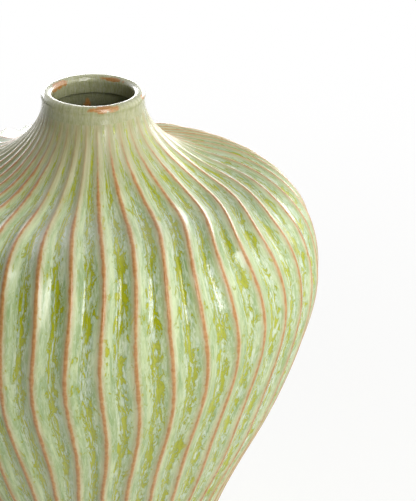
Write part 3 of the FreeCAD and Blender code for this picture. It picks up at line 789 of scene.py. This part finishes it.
def liner_line(inset, rounded):
    """The (radius, height) line that lies this far off the clay, from the floor to the collar's seam."""
    floor = FLOOR_TOP + inset
    foot = HOLLOW_FOOT - inset
    mitre = inset * math.tan(COIL_SLOPE / 2)
    line = stepped([(0, floor), (HOLLOW_FOOT - FLOOR_COIL - mitre, floor),
                    (foot, FLOOR_TOP + FLOOR_COIL + mitre), (foot, WAIST_HEIGHT)], HOLLOW_STEP)
    walls = WALL + CLAY_DEPTH * carving_shares[WAIST_ROW:0:-1, :1] + inset
    rows = ridge_rows[WAIST_ROW:0:-1] - normals[WAIST_ROW:0:-1] * walls
    rows = np.vstack((rows, (NECK_OPENING - inset, COLLAR_SEAM - inset)))
    climb = stations[WAIST_ROW] - stations[WAIST_ROW::-1]
    line += list(smooth(climb, rows, np.linspace(0, climb[-1], HOLLOW_ROWS))[1:])

    # Through the collar, over the lip and down to the seam.
    inner, outer = NECK_RADIUS - COLLAR_WALL + LINER_COAT - inset, NECK_RADIUS - LINER_COAT + inset
    lip_height = LIP_TOP - COLLAR_WALL / 2
    line += arc((inner + rounded, COLLAR_SEAM - inset + rounded), rounded, 270, 180, LEDGE_POINTS)
    line += stepped([line[-1], (inner, lip_height)], BORE_STEP)[1:]
    line += arc(((inner + outer) / 2, lip_height), (outer - inner) / 2, 180, 0, LIP_POINTS)[1:]
    neck = np.array(stepped([(outer, lip_height), (outer, COLLAR_SEAM)], COLLAR_STEP)[1:])

    # Outside, the collar draws in above the seam, so that it runs on into the flutes.
    above = np.minimum((neck[:, 1] - COLLAR_SEAM) / NECK_FLARE_HEIGHT, 1)
    drawn_in = above * np.clip((lip_height - neck[:, 1]) / LIP_EASING, 0, 1)
    neck[:, 0] -= NECK_FLARE * (1 - (1 - drawn_in) ** 2) * (inset / LINER_COAT)
    return np.vstack((line, neck))


def turned_skin(name, line, columns):
    """A closed skin turned about the axis from a line that starts and ends on it."""
    turns = np.arange(columns) * math.tau / columns
    rings = line[1:-1]
    flat = np.stack((np.outer(rings[:, 0], np.sin(turns)), np.outer(rings[:, 0], -np.cos(turns)),
                     np.repeat(rings[:, 1:], columns, axis=1)), axis=2)
    points = np.vstack(((0.0, 0.0, line[0, 1]), flat.reshape(-1, 3), (0.0, 0.0, line[-1, 1])))
    here = np.arange(columns)
    beside = (here + 1) % columns
    faces = [(0, 1 + a, 1 + b) for a, b in zip(here, beside)]
    for ring in range(len(rings) - 1):
        low, high = 1 + ring * columns, 1 + (ring + 1) * columns
        faces += [(low + a, high + a, high + b, low + b) for a, b in zip(here, beside)]
    last = 1 + (len(rings) - 1) * columns
    faces += [(last + a, len(points) - 1, last + b) for a, b in zip(here, beside)]
    mesh = bpy.data.meshes.new(name)
    mesh.from_pydata([tuple(point) for point in points], [], [tuple(int(i) for i in face) for face in faces])
    mesh.shade_smooth()
    mesh.set_sharp_from_angle(angle=SHARP_EDGE)
    return mesh


def distance_from_thin(places, turn, down):
    """How far each point lies from the ragged edge of the nearest patch where the glaze is thin."""
    radius = np.hypot(places[:, 0], places[:, 1])
    thin = np.full(len(places), FAR_FROM_THIN)
    for degrees, drop, half_width, half_length in THIN_PATCHES:
        gap = (turn - math.radians(degrees) + math.pi) % math.tau - math.pi
        spread = np.hypot(gap * radius / half_width, (down - drop) / half_length)
        thin = np.minimum(thin, (spread - 0.5) * PATCH_EDGE)
    ragged = [noise.fractal(Vector(place) / RAGGED_GRAIN, 1.0, 2.0, 3) for place in places]
    return thin + np.array(ragged) * RAGGED_REACH


def lip_and_liner(glaze):
    """The inner coat as one closed skin, with what the glaze's material reads."""
    face = liner_line(LINER_COAT, LEDGE_ROUNDING)
    back = liner_line(LINER_BACK, BACK_ROUNDING)
    line = np.vstack((face, back[::-1]))
    mesh = turned_skin("liner_and_lip", line, LINER_COLUMNS)
    places = np.zeros((len(mesh.vertices), 3))
    mesh.vertices.foreach_get("co", places.ravel())
    turn = np.arctan2(places[:, 0], -places[:, 1])
    lift = np.clip((places[:, 2] - COLLAR_SEAM - DIP_STARTS) / (DIP_FULL - DIP_STARTS), 0, 1)
    places[:, 2] -= lift * DIP * (1 + np.sin(3 * turn + 0.7) * 0.6 + np.sin(5 * turn + 2.0) * 0.4)
    mesh.vertices.foreach_set("co", places.ravel())

    # How far each point is down from the crown: out over the lip, or, below zero, back inside.
    down = np.concatenate(([0.0], np.cumsum(np.linalg.norm(np.diff(face, axis=0), axis=1))))
    down -= down[np.argmax(face[:, 1])]
    down = np.concatenate((down, np.zeros(len(back))))
    rings = len(line) - 2
    down = down[np.concatenate(([0], np.repeat(np.arange(rings) + 1, LINER_COLUMNS), [rings + 1]))]

    # It is thick well inside and thin by the crown. Well inside it is also painted dark, partly for the
    # pooled glaze and partly as painted shade.
    thin = distance_from_thin(places, turn, down)
    thickness_and_painted_shade = np.interp(down, (-30 * MM, -6 * MM, 0), (1.0, 0.6, 0.25))
    flute_place = np.column_stack((np.zeros(len(thin)), thickness_and_painted_shade, thin))
    streak_place = np.column_stack((RUN_ARM * np.sin(turn), -RUN_ARM * np.cos(turn), down * RUN_CROWDING))
    for name, rows in (("flute_place", flute_place), ("streak_place", streak_place)):
        mesh.attributes.new(name, "FLOAT_VECTOR", "POINT").data.foreach_set("vector", rows.ravel())
    for name, value in (("rust", 1.0), ("fluting", 0.0)):
        mesh.attributes.new(name, "FLOAT", "POINT").data.foreach_set("value", np.full(len(thin), value))
    mesh.materials.append(glaze)
    piece = bpy.data.objects.new("liner_and_lip", mesh)
    bpy.context.scene.collection.objects.link(piece)
    return piece


liner = lip_and_liner(celadon)
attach(liner, "root")
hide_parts("liner_glaze")

# The dab of glaze in the foot's recess, wiped back by hand so that it can't stick to the kiln shelf.
# It is the mint celadon, thin and even: it shows no runs and no crystals, only a little cloudiness
# where the sponge dragged it.
dress("recess_glaze", cloudy("wiped_celadon", 9 * MM, "#97ad80", "#c3d1ae", 0.2))

# The white board that it stands on, and the soft daylight of the studio.
# The board is plain and far wider than the vase, so that no edge of it shows.
FLOOR_SIZE = 12.0

# To the camera the board glows white. By the foot it glows less, so that the vase's shadow shows.
SHADOW_REACH = (0.3, 1.1)
GLOW_BY_THE_FOOT = 0.72


def white_sweep():
    """Matt white board that the eye sees as plain white, with the vase's soft shadow on it."""
    material, tree, shader = new_material("white_board")
    feed(tree, shader, {"Base Color": linear("#f4f4f1"), "Roughness": 0.9})
    seen = add(tree, "ShaderNodeLightPath").outputs["Is Camera Ray"]
    place = add(tree, "ShaderNodeTexCoord").outputs["Object"]
    away = add(tree, "ShaderNodeVectorMath", {0: place}, operation="LENGTH")
    share = add(tree, "ShaderNodeMapRange", {"Value": away, "From Min": SHADOW_REACH[0],
                                             "From Max": SHADOW_REACH[1], "To Min": GLOW_BY_THE_FOOT},
                interpolation_type="SMOOTHSTEP")
    share = add(tree, "ShaderNodeMath", {0: seen, 1: share}, operation="MULTIPLY")
    glow = add(tree, "ShaderNodeEmission", {"Color": linear("#ffffff"), "Strength": 1.0})
    mixed = add(tree, "ShaderNodeMixShader", {0: share, 1: shader, 2: glow})
    feed(tree, tree.nodes["Material Output"], {"Surface": mixed})
    return material


half = FLOOR_SIZE / 2
corners = [(-half, -half, 0), (half, -half, 0), (half, half, 0), (-half, half, 0)]
floor_mesh = bpy.data.meshes.new("floor")
floor_mesh.from_pydata(corners, [], [(0, 1, 2, 3)])
floor_mesh.materials.append(white_sweep())
floor = bpy.data.objects.new("floor", floor_mesh)
bpy.context.scene.collection.objects.link(floor)


def studio_daylight():
    """What lies all round: bright behind, dim on the camera's side, where the glaze mirrors it."""
    world = bpy.data.worlds.new("daylight")
    world.use_nodes = True
    sky = world.node_tree
    path = add(sky, "ShaderNodeLightPath").outputs
    aim = add(sky, "ShaderNodeTexCoord").outputs["Generated"]
    aim = add(sky, "ShaderNodeSeparateXYZ", {0: aim}).outputs
    behind = add(sky, "ShaderNodeMapRange", {"Value": aim["Y"], "From Min": -0.3, "From Max": 0.5,
                                             "To Min": 0.12, "To Max": 1.1},
                 interpolation_type="SMOOTHSTEP")

    # The mirror image of the big window at the right, as a soft glow that has no edge.
    beside = add(sky, "ShaderNodeMapRange", {"Value": aim["X"], "From Min": 0.2, "To Max": 1.3},
                 interpolation_type="SMOOTHSTEP")
    mirrored = add(sky, "ShaderNodeMath", {0: behind, 1: beside}, operation="ADD")
    lit = add(sky, "ShaderNodeMix", {"Factor": path["Is Glossy Ray"], "A": 0.10, "B": mirrored})
    level = add(sky, "ShaderNodeMix", {"Factor": path["Is Camera Ray"], "A": lit, "B": 1.0})
    feed(sky, sky.nodes["Background"], {"Color": linear("#ffffff"), "Strength": level})
    return world


bpy.context.scene.world = studio_daylight()

# The lights: a strip box to the right of the camera, windows at the right and behind, a dim one left.
# Each has its azimuth from the front towards +X, elevation, distance, width, height and power.
LIGHTS = {
    "strip_box": (26, 28, 1.6, 0.34, 1.9, 17.0),
    "window_right": (90, 30, 1.8, 1.8, 2.2, 25.0),
    "window_left": (-138, 20, 2.0, 0.8, 1.2, 3.0),
    "window_back": (176, 8, 2.2, 3.2, 0.6, 45.0),
}
LIGHT_AIM = Vector((0.0, 0.0, 0.22))
for name, (azimuth, elevation, distance, wide, tall, power) in LIGHTS.items():
    lamp = bpy.data.lights.new(name, "AREA")
    lamp.shape = "RECTANGLE"
    lamp.size = wide
    lamp.size_y = tall
    lamp.energy = power
    light = bpy.data.objects.new(name, lamp)
    bpy.context.scene.collection.objects.link(light)
    turn, rise = math.radians(azimuth), math.radians(elevation)
    back = Vector((math.sin(turn) * math.cos(rise), -math.cos(turn) * math.cos(rise), math.sin(rise)))
    light.location = LIGHT_AIM + back * distance
    light.rotation_euler = back.to_track_quat("Z", "Y").to_euler()

    # The glaze mirrors the daylight's soft glow in place of the big window, whose edge would show.
    light.visible_glossy = name != "window_right"

# The camera stands 1.4 m off and half a metre above the rim, and looks down at the shoulder.
# The vase runs out of the picture at the left and below, as photographed.
FRAME_HEIGHT_PX = 501
FOCAL_PX = 2700
SENSOR = 36.0
CAMERA_BACK = 1.40683
CAMERA_HEIGHT = 0.85041
CAMERA_TILT = 23.726
CAMERA_TURN = -2.594
lens = bpy.data.cameras.new("camera")
lens.sensor_width = SENSOR
lens.lens = SENSOR * FOCAL_PX / FRAME_HEIGHT_PX
camera = bpy.data.objects.new("camera", lens)
camera.location = (0.0, -CAMERA_BACK, CAMERA_HEIGHT)
camera.rotation_euler = (math.radians(90 - CAMERA_TILT), 0.0, math.radians(CAMERA_TURN))
bpy.context.scene.collection.objects.link(camera)
bpy.context.scene.camera = camera
bpy.context.scene.view_settings.view_transform = "Standard"
